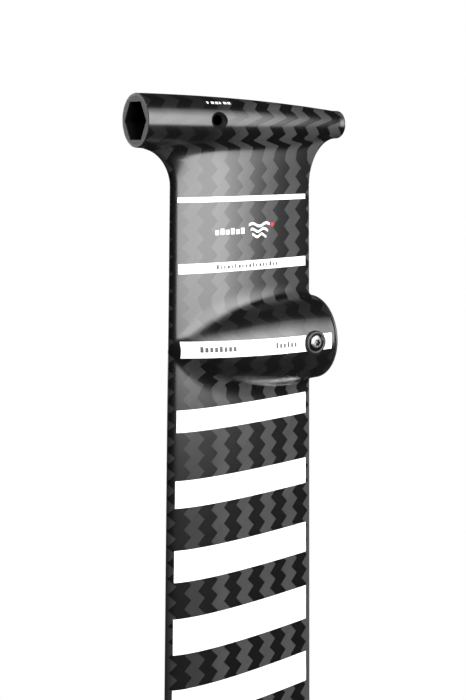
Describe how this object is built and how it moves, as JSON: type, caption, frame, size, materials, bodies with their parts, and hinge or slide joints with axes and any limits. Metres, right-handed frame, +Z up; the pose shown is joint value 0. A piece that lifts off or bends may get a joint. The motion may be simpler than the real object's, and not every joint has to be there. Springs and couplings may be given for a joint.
{
  "type": "hydrofoil mast",
  "caption": "Tapered carbon hydrofoil mast with a hexagonal fuselage socket, a round motor pod with an end cap, a cable conduit and a slotted board plate.",
  "frame": {"origin": "centre of the base plate's flat board face, on the mast's symmetry plane", "axes": "+Z up the mast from the board plate to the fuselage tube, +X aft from the leading edge to the trailing edge, +Y to the mast's left side; Y = 0 is the mast's symmetry plane"},
  "size_m": [0.2, 0.116, 0.806],
  "materials": {
    "woven_carbon": "satin lacquered carbon twill",
    "cut_carbon": "machined carbon laminate",
    "core_foam": "closed-cell structural foam",
    "anodised_aluminium": "black anodised",
    "stainless_steel": "polished stainless steel",
    "black_rubber": "moulded rubber",
    "black_nylon": "moulded nylon"
  },
  "bodies": {
    "root": {"right_half_shell": "woven_carbon", "left_half_shell": "woven_carbon", "fuselage_tube": "woven_carbon", "hex_socket_sleeve": "cut_carbon", "front_spar_web": "cut_carbon", "rear_spar_web": "cut_carbon", "pod_bulkhead": "cut_carbon", "leading_edge_core": "core_foam", "spar_core": "core_foam", "lower_trailing_core": "core_foam", "upper_trailing_core": "core_foam", "fuselage_core": "core_foam", "pod_nose_filler_right": "core_foam", "pod_nose_filler_left": "core_foam", "tail_socket_sleeve": "anodised_aluminium", "pod_end_cap": "anodised_aluminium", "foot_insert_block": "anodised_aluminium", "base_plate": "anodised_aluminium", "pod_screw_right": "stainless_steel", "pod_screw_left": "stainless_steel", "screw_insert_right": "stainless_steel", "screw_insert_left": "stainless_steel", "foot_bolt_front": "stainless_steel", "foot_bolt_middle": "stainless_steel", "foot_bolt_rear": "stainless_steel", "end_cap_seal": "black_rubber", "foot_gasket": "black_rubber", "cable_exit_grommet": "black_rubber", "screw_cup_right": "black_nylon", "screw_cup_left": "black_nylon", "cable_conduit": "black_nylon", "conduit_gland_nut": "black_nylon"}
  },
  "joints": []
}
